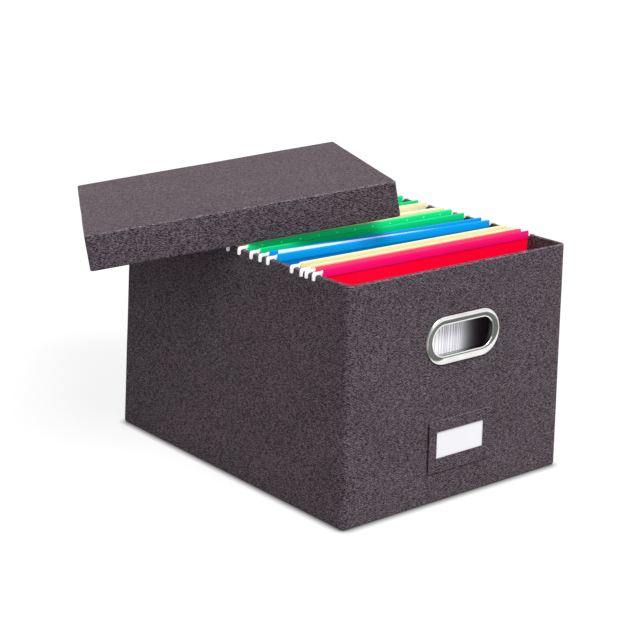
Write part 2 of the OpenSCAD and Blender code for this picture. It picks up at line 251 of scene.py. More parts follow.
def rounded_threads(tree, count):
    """The height across threads that lie side by side, one to each unit of a count."""
    return calc(tree, "ABSOLUTE", calc(tree, "SINE", calc(tree, "MULTIPLY", count, math.pi)))


def weave_group():
    """Woven cloth: crossing threads of uneven tone, with slubs. Vector is in metres on the cloth."""
    group, given, out = new_group(
        "woven_cloth",
        [
            ("Vector", "NodeSocketVector", None),
            ("Dark Thread", "NodeSocketColor", (0.03, 0.026, 0.03, 1)),
            ("Light Thread", "NodeSocketColor", (0.2, 0.18, 0.2, 1)),
            ("Thread Pitch", "NodeSocketFloat", 0.0012),
            ("Wear And Edge Highlight", "NodeSocketFloat", 0.0),
        ],
        [("Color", "NodeSocketColor"), ("Height", "NodeSocketFloat")],
    )
    vector, pitch = given["Vector"], given["Thread Pitch"]

    # Threads that wander a little, in columns and in closer rows
    drift = add(group, "ShaderNodeTexNoise", {"Vector": vector, "Scale": 260.0, "Detail": 1.0}).outputs[1]
    around = {0: drift, 1: (0.5, 0.5, 0.5)}
    drift = add(group, "ShaderNodeVectorMath", around, operation="SUBTRACT").outputs[0]
    drift = add(group, "ShaderNodeVectorMath", {0: drift, 3: 0.0018}, operation="SCALE").outputs[0]
    bent = add(group, "ShaderNodeVectorMath", {0: vector, 1: drift}, operation="ADD").outputs[0]
    split = add(group, "ShaderNodeSeparateXYZ", {0: bent})
    across = calc(group, "DIVIDE", split.outputs[0], pitch)
    along = calc(group, "DIVIDE", split.outputs[1], calc(group, "MULTIPLY", pitch, 0.62))
    column, row = (calc(group, "FLOOR", value) for value in (across, along))
    both = calc(group, "ADD", column, row)

    # Warp and weft take turns on top
    warp, weft = (rounded_threads(group, value) for value in (across, along))
    above = calc(group, "FLOORED_MODULO", both, 2.0)
    height = calc(group, "MULTIPLY_ADD", calc(group, "SUBTRACT", weft, warp), above, warp)

    # The tone of a thread: slubs, each stitch by chance, its height, a twill line in every third, and
    # lighter threads on rolled edges, as wear and as a painted highlight
    stitch = add(group, "ShaderNodeCombineXYZ", {0: column, 1: row}).outputs[0]
    chance = add(group, "ShaderNodeTexWhiteNoise", {"Vector": stitch}, noise_dimensions="2D").outputs[0]
    slub = shift(group, grain(group, vector, (190, 1150, 1), 2.0, 0.6), 0.4, 0.6)
    twill = calc(group, "LESS_THAN", calc(group, "FLOORED_MODULO", both, 3.0), 0.5)
    wear_and_edge_highlight = calc(group, "MULTIPLY", given["Wear And Edge Highlight"], chance)
    tone = calc(group, "MULTIPLY", slub, 0.26)
    shares = ((shift(group, chance, 0.25, 1.0), 0.44), (height, 0.08), (twill, 0.16), (wear_and_edge_highlight, 0.5))
    for value, share in shares:
        tone = calc(group, "MULTIPLY_ADD", value, share, tone)
    tone = calc(group, "SUBTRACT", tone, 0.12, clamped=True)
    colour = mix(group, tone, given["Dark Thread"], given["Light Thread"])
    patch = shift(group, grain(group, vector, (14, 20, 1), 3.0, 0.6), 0.3, 0.7, 0.9, 1.1)
    group.links.new(shade(group, colour, patch), out["Color"])
    relief = calc(group, "ADD", calc(group, "MULTIPLY", height, 0.6), calc(group, "MULTIPLY", slub, 0.4))
    group.links.new(relief, out["Height"])
    return group


def fibre_group():
    """Paper stock: fine fibres and a faint cloud over one colour."""
    group, given, out = new_group(
        "paper_stock",
        [
            ("Vector", "NodeSocketVector", None),
            ("Stock", "NodeSocketColor", (0.8, 0.8, 0.8, 1)),
            ("Mottle", "NodeSocketFloat", 0.06),
        ],
        [("Color", "NodeSocketColor"), ("Height", "NodeSocketFloat")],
    )
    fine = grain(group, given["Vector"], (900, 900, 900), 3.0, 0.7)
    cloud = grain(group, given["Vector"], (18, 18, 18), 2.0, 0.5)
    both = calc(group, "SUBTRACT", calc(group, "ADD", fine, cloud), 1.0)
    swing = calc(group, "MULTIPLY", calc(group, "MULTIPLY", both, given["Mottle"]), 2.0)
    group.links.new(shade(group, given["Stock"], calc(group, "ADD", swing, 1.0)), out["Color"])
    group.links.new(fine, out["Height"])
    return group


WOVEN = weave_group()
STOCK = fibre_group()


def new_material(name, **principled):
    material = bpy.data.materials.new(name)
    material.use_nodes = True
    shader = material.node_tree.nodes["Principled BSDF"]
    for key, value in principled.items():
        shader.inputs[key.replace("_", " ")].default_value = value
    return material, material.node_tree, shader


def coordinates(tree):
    return add(tree, "ShaderNodeTexCoord", {}).outputs["Object"]


def dress(tree, shader, effect, strength, distance):
    """Feeds a group's colour and relief to a shader."""
    tree.links.new(effect.outputs["Color"], shader.inputs["Base Color"])
    sockets = {"Strength": strength, "Distance": distance, "Height": effect.outputs["Height"]}
    tree.links.new(add(tree, "ShaderNodeBump", sockets).outputs[0], shader.inputs["Normal"])


def cloth_material(name, dark, light, pitch):
    """Woven cloth on the piece's own map, with a painted value for wear and a painted highlight along its
    rolled edges.
    """
    material, tree, shader = new_material(
        name, Roughness=0.92, Specular_IOR_Level=0.1,
        Sheen_Weight=0.12, Sheen_Roughness=0.4, Sheen_Tint=(1.0, 0.72, 0.72, 1),
    )
    sockets = {
        "Vector": add(tree, "ShaderNodeUVMap", {}, uv_map="cloth").outputs[0],
        "Dark Thread": dark, "Light Thread": light, "Thread Pitch": pitch,
        "Wear And Edge Highlight": painted(tree, "wear_and_edge_highlight"),
    }
    dress(tree, shader, add(tree, "ShaderNodeGroup", sockets, node_tree=WOVEN), 0.5, 0.0004)
    return material


def paper_material(name, colour, mottle=0.05, sheen_hems=None, painted_glow=0.0, painted_shadow=None, **principled):
    """Paper or board.

    Sheen hems: the colours of the front hem and the back hem, lighter as a painted sheen, and of the
    dots, which a painted value picks.
    Painted glow: an emission that stands in for light coming through the sheet. Painted shadow: the
    colour that a painted shade leads to.
    """
    material, tree, shader = new_material(name, **principled)
    if sheen_hems:
        # Painted sheen: the hems take lighter colours than the body
        picked = calc(tree, "DIVIDE", painted(tree, "hem"), 3.0)
        colour = ramp(tree, picked, [(index / 3, stop) for index, stop in enumerate((colour, *sheen_hems))])
    if painted_shadow:
        colour = mix(tree, painted(tree, "shade"), colour, painted_shadow)
    sockets = {"Vector": coordinates(tree), "Stock": colour, "Mottle": mottle}
    effect = add(tree, "ShaderNodeGroup", sockets, node_tree=STOCK)
    dress(tree, shader, effect, 0.15, 0.0002)
    # Painted glow: the sheet's own colour as emission, for light coming through it
    if painted_glow:
        tree.links.new(effect.outputs["Color"], shader.inputs["Emission Color"])
        shader.inputs["Emission Strength"].default_value = painted_glow
    return material


def metal_material(name, colour, roughness, painted_shadow=None):
    """Polished plate, with noise in its colour as painted streaks of reflection. With a painted shadow
    colour, a painted value darkens the ring's channel, sleeve and outer rim as painted shade.
    """
    material, tree, shader = new_material(name, Metallic=1.0)
    haze = grain(tree, coordinates(tree), (60, 60, 60), 3.0, 0.6)
    dull = shift(tree, haze, 0.0, 1.0, roughness * 0.7, roughness * 1.4)
    tree.links.new(dull, shader.inputs["Roughness"])
    painted_streak = shade(tree, colour, shift(tree, haze, 0.3, 0.7, 0.88, 1.04))
    if painted_shadow:
        # Painted shade: a painted value leads to the painted shadow colour
        painted_streak = mix(tree, painted(tree, "painted_ring_shade"), painted_streak, painted_shadow)
    tree.links.new(painted_streak, shader.inputs["Base Color"])
    return material


def coated_material(name, colour, roughness, painted_glow):
    """The rods' white coating, with fine specks and a painted glow in its own colour."""
    material, tree, shader = new_material(
        name, Roughness=roughness, Specular_IOR_Level=0.3, Emission_Strength=painted_glow
    )
    speck = shift(tree, grain(tree, coordinates(tree), (700, 700, 700)), 0.0, 1.0, 0.95, 1.03)
    coat = shade(tree, colour, speck)
    for socket in ("Base Color", "Emission Color"):
        tree.links.new(coat, shader.inputs[socket])
    return material


def folder_material(name, painted_glow, body, *sheen_hems):
    """Folder paper: the colour of its body, then those of its front hem and back hem, lighter as a painted
    sheen, and of its dots.
    """
    sheen_hem_tints = [tint(*hem) for hem in sheen_hems]
    return paper_material(name, tint(*body), 0.04, sheen_hem_tints, painted_glow, Roughness=0.45, Specular_IOR_Level=0.1)


DARK_THREAD, LIGHT_THREAD = (0.007, 0.005, 0.0065, 1), (0.262, 0.213, 0.252, 1)
COVER_CLOTH = cloth_material("cover_cloth", DARK_THREAD, LIGHT_THREAD, 0.00145)
GREYBOARD = paper_material("greyboard", tint(160, 150, 135), 0.2, Roughness=0.9, Specular_IOR_Level=0.2)
LINING = paper_material("lining_paper", tint(34, 27, 31), 0.15, Roughness=0.85, Specular_IOR_Level=0.2)
# Chrome with a painted shade colour for the ring's channel, sleeve and outer rim
CHROME = metal_material("chrome", (0.93, 0.93, 0.92, 1), 0.08, tint(101, 104, 99))
PLATED = metal_material("plated_steel", (0.6, 0.6, 0.62, 1), 0.3)
CARD_STOCK = paper_material(
    "card_stock", (0.84, 0.84, 0.87, 1), 0.03, Roughness=0.6, Specular_IOR_Level=0.3
)
# White sheets: a painted glow, and a painted shade that leads to a dark colour
SHEET_STOCK = paper_material(
    "white_sheet", (0.89, 0.885, 0.935, 1), 0.03, painted_glow=0.24, painted_shadow=tint(40, 33, 37),
    Roughness=0.6, Specular_IOR_Level=0.3,
)
# A dark board put where the box's inside is in shade
SHADE_BACKING = paper_material("painted_shade_backing", tint(84, 74, 80), 0.2, Roughness=0.8, Specular_IOR_Level=0.2)
# Rods: a painted glow makes the coating lighter
ROD_COAT = coated_material("rod_coating", (0.93, 0.93, 0.95, 1), 0.35, 0.12)
# Folders: a painted glow, the body's colour, front and back hems lighter as a painted sheen, and dots
RED_STOCK = folder_material("red_stock", 0.34, (255, 0, 48), (228, 8, 96), (228, 62, 98), (200, 0, 40))
CREAM_STOCK = folder_material(
    "cream_stock", 0.12, (228, 216, 162), (225, 216, 168), (228, 220, 176), (190, 180, 130)
)
BLUE_STOCK = folder_material("blue_stock", 0.22, (0, 124, 205), (0, 147, 226), (8, 136, 208), (0, 70, 130))
GREEN_STOCK = folder_material(
    "green_stock", 0.22, (0, 186, 102), (6, 196, 118), (12, 212, 130), (150, 250, 205)
)

FOLDER_STOCK = {
    "red": (RED_STOCK, "red_sheet"),
    "cream": (CREAM_STOCK, "cream_sheet"),
    "blue": (BLUE_STOCK, "blue_sheet"),
    "green": (GREEN_STOCK, "green_sheet"),
    "tan": (CREAM_STOCK, "cream_sheet"),
    "lime": (GREEN_STOCK, "green_sheet"),
    "rear": (BLUE_STOCK, "blue_sheet"),
}


# Mesh building --------------------------------------------------------------------------------


def block(wide, deep, low, high):
    """The matrix of a cube that stands round the Z axis between two heights."""
    return Matrix.Translation((0, 0, (low + high) / 2)) @ Matrix.Diagonal((wide, deep, high - low, 1))


def add_cube(bm, place, size):
    """A cube round a place, with its size along each axis."""
    matrix = Matrix.Translation(place) @ Matrix.Diagonal((*size, 1))
    bmesh.ops.create_cube(bm, size=1, matrix=matrix)


def centre(face):
    return face.calc_center_median()


def moved(geom, kind=bmesh.types.BMVert):
    """What is of one kind in an operator's output."""
    return [g for g in geom if isinstance(g, kind)]


def bevel(bm, geom, offset, segments=3, affect="EDGES"):
    bmesh.ops.bevel(bm, geom=geom, offset=offset, segments=segments, profile=0.5, affect=affect, material=-1)


def creases(bm, angle=0.5):
    return [e for e in bm.edges if e.is_manifold and e.calc_face_angle(0) > angle]


def upright(edges):
    """The edges that run up and down."""
    return [e for e in edges if abs(e.verts[0].co.z - e.verts[1].co.z) > 0.1]


def at_level(edges, level):
    """The edges that lie at a height."""
    return [e for e in edges if all(abs(v.co.z - level) < 0.01 for v in e.verts)]


def boundary(bm, level):
    """The open edges that lie at a height."""
    return [e for e in at_level(bm.edges, level) if e.is_boundary]


def clear_flat(bm):
    """Deletes a ring's faces that look up or down."""
    flat = [f for f in bm.faces if abs(f.normal.z) > 0.9]
    bmesh.ops.delete(bm, geom=flat, context="FACES_ONLY")


def extend(bm, edges, scale, move):
    """Draws a strip from open edges, then scales and moves its far side. Returns the new open edges."""
    new = bmesh.ops.extrude_edge_only(bm, edges=edges)["geom"]
    verts = moved(new)
    bmesh.ops.scale(bm, vec=scale, verts=verts)
    bmesh.ops.translate(bm, vec=move, verts=verts)
    return [e for e in moved(new, bmesh.types.BMEdge) if all(v in verts for v in e.verts)]


def lay_cloth(bm):
    """A UV map in metres, so that the threads run along each face's edges, and a value above the foot
    for wear and a painted highlight.

    On level faces the rows of threads lie wider apart. The wear and the painted highlight are on
    edges that are rolled.
    """
    layer = bm.loops.layers.uv.new("cloth")
    wear_and_edge_highlight = bm.verts.layers.float.new("wear_and_edge_highlight")
    bm.normal_update()
    for face in bm.faces:
        size = [abs(c) for c in face.normal]
        first, second, gain = ((1, 2, 1.0), (0, 2, 1.0), (0, 1, 0.6))[size.index(max(size))]
        for loop in face.loops:
            loop[layer].uv = (loop.vert.co[first] / 1000, gain * loop.vert.co[second] / 1000)
    for vert in bm.verts:
        # Wear and a painted highlight: vertices on rolled edges above the foot
        vert[wear_and_edge_highlight] = vert.co.z > 8 and all(0.15 < abs(face.normal.z) < 0.985 for face in vert.link_faces)


def hang_cloth(bm, swell):
    """Divides a cloth skin's long faces, makes them faintly uneven and gives them the cloth's thickness."""
    long_edges = [e for e in bm.edges if e.calc_length() > 60]
    bmesh.ops.subdivide_edges(bm, edges=long_edges, cuts=15, use_grid_fill=True)
    bm.normal_update()
    for vert in bm.verts:
        vert.co += vert.normal * swell * noise.noise(vert.co / 55)
    bmesh.ops.recalc_face_normals(bm, faces=bm.faces)
    outer = max(bm.faces, key=lambda f: centre(f).length)
    if outer.normal.dot(centre(outer)) < 0:
        bmesh.ops.reverse_faces(bm, faces=bm.faces)
    bmesh.ops.solidify(bm, geom=list(bm.faces), thickness=CLOTH_T)
    lay_cloth(bm)


def spin(bm, geom, steps, cent=(0, 0, 0), step=0.0, angle=0.0):
    """Sweeps a section about Z, or along X by a step each time. Returns its last copy."""
    return bmesh.ops.spin(
        bm, geom=geom, cent=cent, dvec=(step, 0, 0), axis=(0, 0, 1), angle=angle, steps=steps,
        use_merge=False,
    )["geom_last"]


def sweep_line(bm, line, length, steps):
    """Joins vertices in a row and draws a sheet from them along X."""
    chain = [bm.edges.new(pair) for pair in zip(line, line[1:])]
    spin(bm, line + chain, steps, step=length / steps)


def on_rims(bm, colour):
    """Turns what hangs in a folder about the middle of its fold."""
    turn = Matrix.Rotation(math.radians(FOLDERS[colour][2]), 3, "Z")
    bmesh.ops.rotate(bm, cent=(0, sum(flap_places(colour)) / 2, 0), matrix=turn, verts=bm.verts)


def to_metres(bm, name):
    bmesh.ops.scale(bm, vec=(0.001, 0.001, 0.001), verts=bm.verts)
    mesh = bpy.data.meshes.new(name)
    bm.to_mesh(mesh)
    bm.free()
    thing = bpy.data.objects.new(name, mesh)
    bpy.context.scene.collection.objects.link(thing)
    return thing


def make_piece(bm, name, body, material, node, sharp=38):
    for face in bm.faces:
        face.smooth = True
    for edge in bm.edges:
        edge.smooth = edge.calc_face_angle(math.pi) < math.radians(sharp)
    piece = to_metres(bm, name)
    piece.data.materials.append(material)
    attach(piece, body)
    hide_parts(node)
    return piece


def give_thickness(piece, thickness):
    thick = piece.modifiers.new("thickness", "SOLIDIFY")
    thick.thickness = thickness / 1000
    thick.offset = 0


def hole_cutter(back):
    """A bar of stadium section through a hand hole, for a cut."""
    bm = bmesh.new()
    inside, outside = 14, 12
    radius = HOLE_H / 2 + 1.5
    turn = Matrix.Rotation(math.pi / 64, 4, "Z")
    bmesh.ops.create_circle(bm, cap_ends=True, segments=64, radius=radius, matrix=turn)
    for vert in bm.verts:
        vert.co += Vector((math.copysign((HOLE_W - HOLE_H) / 2, vert.co.x), 0, -inside))
    top = bmesh.ops.extrude_face_region(bm, geom=list(bm.faces), use_keep_orig=True)["geom"]
    bmesh.ops.translate(bm, vec=(0, 0, inside + outside), verts=moved(top))
    bmesh.ops.recalc_face_normals(bm, faces=bm.faces)
    bmesh.ops.transform(bm, matrix=hole_matrix(back), verts=bm.verts)
    return to_metres(bm, "hole_cutter")


def cut_holes(piece):
    """Cuts both hand holes out of the piece for good."""
    cutters = [hole_cutter(back) for back in (False, True)]
    for cutter in cutters:
        cut = piece.modifiers.new("hole", "BOOLEAN")
        cut.operation = "DIFFERENCE"
        cut.solver = "EXACT"
        cut.object = cutter
    bpy.context.view_layer.update()
    graph = bpy.context.evaluated_depsgraph_get()
    mesh = bpy.data.meshes.new_from_object(piece.evaluated_get(graph))
    piece.modifiers.clear()
    piece.data = mesh
    for cutter in cutters:
        bpy.data.objects.remove(cutter)


def mitre(bm, corner, rise, diagonal, across):
    """Cuts a ring of boards at a corner's mitre and clears what lies across from the wall."""
    normal = rise.cross(diagonal).normalized()
    if normal.dot(across) < 0:
        normal.negate()
    geom = bm.verts[:] + bm.edges[:] + bm.faces[:]
    cut = bmesh.ops.bisect_plane(bm, geom=geom, plane_co=corner, plane_no=normal, clear_outer=True)
    bmesh.ops.edgeloop_fill(bm, edges=moved(cut["geom_cut"], bmesh.types.BMEdge))


def make_boards(names, body, levels, size, shrink, radius, matrix=None):
    """Four greyboard walls, each cut at its mitres out of a ring with rounded corners.

    Names run as in WALLS. Size is the ring's at its foot, and shrink its size at the top as a share.
    """
    (low, high), (wide, deep) = levels, size
    lean_x, lean_y = wide * (1 - shrink[0]) / 2, deep * (1 - shrink[1]) / 2
    for name, across, ends in zip(names, WAYS_ACROSS, zip(CORNERS, CORNERS[1:] + CORNERS[:1])):
        bm = bmesh.new()
        bmesh.ops.create_cube(bm, size=1, matrix=block(wide, deep, low, high))
        top = [v for v in bm.verts if v.co.z > (low + high) / 2]
        bmesh.ops.scale(bm, vec=(*shrink, 1), verts=top)
        clear_flat(bm)
        bevel(bm, creases(bm), radius, 6)
        bmesh.ops.recalc_face_normals(bm, faces=bm.faces)
        bmesh.ops.solidify(bm, geom=list(bm.faces), thickness=BOARD_T - BOARD_GAP)
        for turn_x, turn_y in ends:
            corner = Vector((turn_x * wide / 2, turn_y * deep / 2, low))
            rise = Vector((-turn_x * lean_x, -turn_y * lean_y, high - low))
            mitre(bm, corner, rise, Vector((turn_x, turn_y, 0)), Vector(across))
        bmesh.ops.recalc_face_normals(bm, faces=bm.faces)
        if matrix:
            bmesh.ops.transform(bm, matrix=matrix, verts=bm.verts)
        board = make_piece(bm, "grey_" + name, body, GREYBOARD, name)
        if name in ("front_board", "back_board"):
            cut_holes(board)


def make_box_boards():
    """The box's walls, a small gap inside their cloth."""
    foot_x, foot_y = (side(BOARD_FOOT, COVER_T + BOARD_GAP) for side in (side_x, side_y))
    rim_x, rim_y = (side(BOX_H, COVER_T + BOARD_GAP) for side in (side_x, side_y))
    levels = (BOARD_FOOT, BOX_H - COVER_T - BOARD_GAP)
    shrink = (rim_x / foot_x, rim_y / foot_y)
    make_boards(WALLS, "box", levels, (2 * foot_x, 2 * foot_y), shrink, BOX_BOARD_ROUND)


def make_lid_boards():
    """The lid's four skirts, under its top board."""
    names = ["lid_" + wall for wall in WALLS]
    levels = (COVER_T + BOARD_GAP, LID_H - COVER_T - BOARD_T - BOARD_GAP)
    size = [length - 2 * COVER_T - 2 * BOARD_GAP for length in (LID_W, LID_L)]
    make_boards(names, "lid", levels, size, (1, 1), LID_BOARD_ROUND, lid_matrix())


def make_lid_top():
    """The lid's top board with rounded corners."""
    bm = bmesh.new()
    high = LID_H - COVER_T
    wide, deep = (length - 2 * COVER_T for length in (LID_W, LID_L))
    space = block(wide, deep, high - BOARD_T + BOARD_GAP, high - BOARD_GAP)
    bmesh.ops.create_cube(bm, size=1, matrix=space)
    bevel(bm, upright(bm.edges), LID_BOARD_ROUND, 6)
    bmesh.ops.transform(bm, matrix=lid_matrix(), verts=bm.verts)
    make_piece(bm, "grey_lid_top_board", "lid", GREYBOARD, "lid_top_board")


def make_box_cover():
    """Cloth round the walls, rolled over the rim and turned in, cut through at the hand holes."""
    bm = bmesh.new()
    bmesh.ops.create_cube(bm, size=1, matrix=block(BOX_W, BOX_L, COVER_FOOT, BOX_H))
    top = [v for v in bm.verts if v.co.z > BOX_H / 2]
    bmesh.ops.scale(bm, vec=(RIM_X / (BOX_W / 2), side_y(BOX_H) / (BOX_L / 2), 1), verts=top)
    clear_flat(bm)
    bevel(bm, creases(bm), BOX_ROUND, 8)
    under = (1 - 2 * FOOT_TURN / BOX_W, 1 - 2 * FOOT_TURN / BOX_L, 1)
    extend(bm, boundary(bm, COVER_FOOT), under, (0, 0, 0))
    inner_x, inner_y = side_x(BOX_H, WALL_T), side_y(BOX_H, WALL_T)
    over = (inner_x / RIM_X, inner_y / side_y(BOX_H), 1)
    edges = extend(bm, boundary(bm, BOX_H), over, (0, 0, 0))
    low = BOX_H - TURN_IN
    down = (side_x(low, WALL_T) / inner_x, side_y(low, WALL_T) / inner_y, 1)
    extend(bm, edges, down, (0, 0, -TURN_IN))
    for level, roll in ((COVER_FOOT, FOOT_ROLL), (BOX_H, RIM_ROLL)):
        bevel(bm, at_level(creases(bm), level), roll, 5)
    hang_cloth(bm, BOX_SWELL)
    cover = make_piece(bm, "cloth_cover", "box", COVER_CLOTH, "outer_cover")
    cut_holes(cover)


def make_base_cover():
    """Cloth under the floor, inside the rolled foot of the walls' cloth."""
    bm = bmesh.new()
    wide, deep = (length - 2 * BASE_INSET for length in (BOX_W, BOX_L))
    bmesh.ops.create_cube(bm, size=1, matrix=block(wide, deep, BASE_FOOT, COVER_T))
    bevel(bm, upright(bm.edges), BOX_ROUND, 8)
    bevel(bm, creases(bm, 1), 0.15, 2)
    lay_cloth(bm)
    make_piece(bm, "cloth_base", "box", COVER_CLOTH, "base_cover")


def make_lid_cover():
    """Cloth over the lid, rolled round its lower edge and turned in up to its lining."""
    bm = bmesh.new()
    bmesh.ops.create_cube(bm, size=1, matrix=block(LID_W, LID_L, 0, LID_H))
    bmesh.ops.delete(bm, geom=[f for f in bm.faces if f.normal.z < -0.9], context="FACES_ONLY")
    bevel(bm, upright(creases(bm)), LID_ROUND, 8)
    inner = ((LID_W - 2 * WALL_T) / LID_W, (LID_L - 2 * WALL_T) / LID_L, 1)
    edges = extend(bm, boundary(bm, 0), inner, (0, 0, 0))
    extend(bm, edges, (1, 1, 1), (0, 0, LID_H - WALL_T))
    bevel(bm, creases(bm), LID_ROLL, 4)
    hang_cloth(bm, LID_SWELL)
    bmesh.ops.transform(bm, matrix=lid_matrix(), verts=bm.verts)
    make_piece(bm, "cloth_lid_cover", "lid", COVER_CLOTH, "lid_cover")


def ring_painted_shade(depth, out, facing, up):
    """How dark the painted shade at a point of the ring is.

    It has its section's depth of painted shade, more in the channel and a painted dark line at the
    outer rim's left. The lip's inner side has its own painted shade, at the right.
    """
    if up > LIP_Z and out > LIP_END:
        corner = max(0.0, -facing.x) * max(0.0, -facing.y)
        end = 4.2 + 1.4 * facing.y + 3.3 * facing.x ** 2 - 0.6 * facing.x + 6.0 * corner
        painted_ring_shade = clamp((out - LIP_END) / 0.3) * clamp((end + 0.4 - out) / 0.8)
        outer = clamp(out - OUTER_RIM) * clamp((-facing.x - 0.6) * 4)
        return max(depth + painted_ring_shade, outer)
    if up > LIP_Z and out < LIP_CREST:
        return 0.9 * clamp((facing.x - 0.6) / 0.2) * (-0.5 < facing.y < 0.6)
    return depth


def make_grommet(name, node, back):
    """Chrome ring of stadium shape with a rolled rim, a channel with painted shade, a lip and a sleeve with
    painted streaks.
    """
    bm = bmesh.new()
    painted_ring_shade = bm.verts.layers.float.new("painted_ring_shade")
    half = (HOLE_W - HOLE_H) / 2
    last = [bm.verts.new((half, -HOLE_H / 2 - out, up)) for out, up, depth in RING_SECTION]
    # Each section point's painted shade
    for vert, (out, up, depth) in zip(last, RING_SECTION):
        vert[painted_ring_shade] = depth
    last += [bm.edges.new(pair) for pair in zip(last, last[1:] + last[:1])]
    for side in (1, -1):
        last = spin(bm, last, 36, cent=(side * half, 0, 0), angle=math.pi)
        last = spin(bm, last, 1, step=-side * 2 * half)
    bmesh.ops.remove_doubles(bm, verts=bm.verts, dist=0.001)
    bmesh.ops.recalc_face_normals(bm, faces=bm.faces)
    # More painted shade in the channel, at the outer rim and inside the lip
    for vert in bm.verts:
        reach = Vector((math.copysign(max(0.0, abs(vert.co.x) - half), vert.co.x), vert.co.y))
        out = reach.length - HOLE_H / 2
        vert[painted_ring_shade] = ring_painted_shade(vert[painted_ring_shade], out, reach.normalized(), vert.co.z)
    bmesh.ops.transform(bm, matrix=hole_matrix(back), verts=bm.verts)
    make_piece(bm, name, "box", CHROME, node, sharp=50)


def make_label_holder():
    """Cloth-covered frame over the card: a plate on three spacers, gaping a little at the open left."""
    plate, room, gape = 0.9, CARD_LAP + 0.2, 1.1
    right, low, high = WINDOW_W / 2, WINDOW_UP - WINDOW_H / 2, WINDOW_UP + WINDOW_H / 2
    xs = (-LABEL_W / 2, -LABEL_W / 2 + 5.0, -right, right, right + room, LABEL_W / 2)
    zs = (-LABEL_H / 2, low - room, low, high, high + room, LABEL_H / 2)
    bm = bmesh.new()
    bmesh.ops.create_grid(bm, x_segments=5, y_segments=5, size=1)
    for vert in bm.verts:
        column, row = round((vert.co.x + 1) * 2.5), round((vert.co.y + 1) * 2.5)
        vert.co = (xs[column], -LABEL_T, zs[row])
    window = [f for f in bm.faces if abs(centre(f).x) < 1 and abs(centre(f).z - WINDOW_UP) < 1]
    bmesh.ops.delete(bm, geom=window, context="FACES_ONLY")
    back = bmesh.ops.extrude_face_region(bm, geom=list(bm.faces), use_keep_orig=True)["geom"]
    bmesh.ops.translate(bm, vec=(0, plate, 0), verts=moved(back))
    spacers = [
        f for f in moved(back, bmesh.types.BMFace)
        if centre(f).x > xs[1] and (centre(f).z < zs[1] or centre(f).z > zs[4] or centre(f).x > xs[4])
    ]
    deep = bmesh.ops.extrude_face_region(bm, geom=spacers)["geom"]
    bmesh.ops.delete(bm, geom=spacers, context="FACES_ONLY")
    bmesh.ops.translate(bm, vec=(0, LABEL_T - plate - 0.02, 0), verts=moved(deep))
    for vert in bm.verts:
        if vert.co.x < xs[0] + 0.1:
            vert.co.y -= gape
    bmesh.ops.recalc_face_normals(bm, faces=bm.faces)
    bevel(bm, [e for e in creases(bm, 1) if all(v.co.y < -LABEL_T + 0.01 for v in e.verts)], 0.4)
    bmesh.ops.translate(bm, vec=(LABEL_X, 0, LABEL_Z), verts=bm.verts)
    lay_cloth(bm)
    bmesh.ops.transform(bm, matrix=end_matrix(False), verts=bm.verts)
    make_piece(bm, "cloth_label_holder", "box", COVER_CLOTH, "label_holder")


def make_card():
    """Bare white card with rounded corners."""
    wide, tall = WINDOW_W + 2 * CARD_LAP, WINDOW_H + 2 * CARD_LAP
    bm = bmesh.new()
    place = (LABEL_X, -0.15 - CARD_T / 2, LABEL_Z + WINDOW_UP)
    add_cube(bm, place, (wide, CARD_T - 0.05, tall))
    bevel(bm, [e for e in bm.edges if abs(e.verts[0].co.y - e.verts[1].co.y) > 0.1], 2.0, 6)
    bevel(bm, creases(bm, 1), 0.1, 1)
    bmesh.ops.transform(bm, matrix=end_matrix(False), verts=bm.verts)
    make_piece(bm, "bare_card", "card", CARD_STOCK, "label_card")


def folder_section(y0, y1):
    """A folder's section from the front hem's inner end, down to the fold and up to the back hem's.

    Each point has its Y, its Z and the number of the hem it belongs to, or 0.
    """
    fold_y = (y0 + y1) / 2
    bulge = HEM_T / 2 - 0.25
    crown_z = FLAP_TOP - bulge - 0.25
    hem = [(0.5, HEM_Z - 1.0), (bulge, HEM_Z + 1.8), (bulge, crown_z)]
    for turn in range(1, 6):
        angle = turn * math.pi / 6
        hem.append((bulge * math.cos(angle), crown_z + bulge * math.sin(angle)))
    hem += [(-bulge, crown_z), (-bulge, HEM_Z + 1.6), (-bulge + 0.2, HEM_Z + 0.5)]
    body = [(-bulge + 0.5, HEM_Z + 0.1), (-0.1, HEM_Z - 1.6)]
    half = [(y0 + side, z, 1) for side, z in hem] + [(y0 + side, z, 0) for side, z in body]
    steps = 9
    for step in range(1, steps):
        t = step / steps
        half.append((y0 - 0.1 + (fold_y - 0.1 - y0) * t, HEM_Z - 1.6 + (FOLD_Z + 2.6 - HEM_Z) * t, 0))
    other = [(y0 + y1 - y, z, 2 * part) for y, z, part in reversed(half)]
    return half + [(fold_y, FOLD_Z + 0.4, 0)] + other


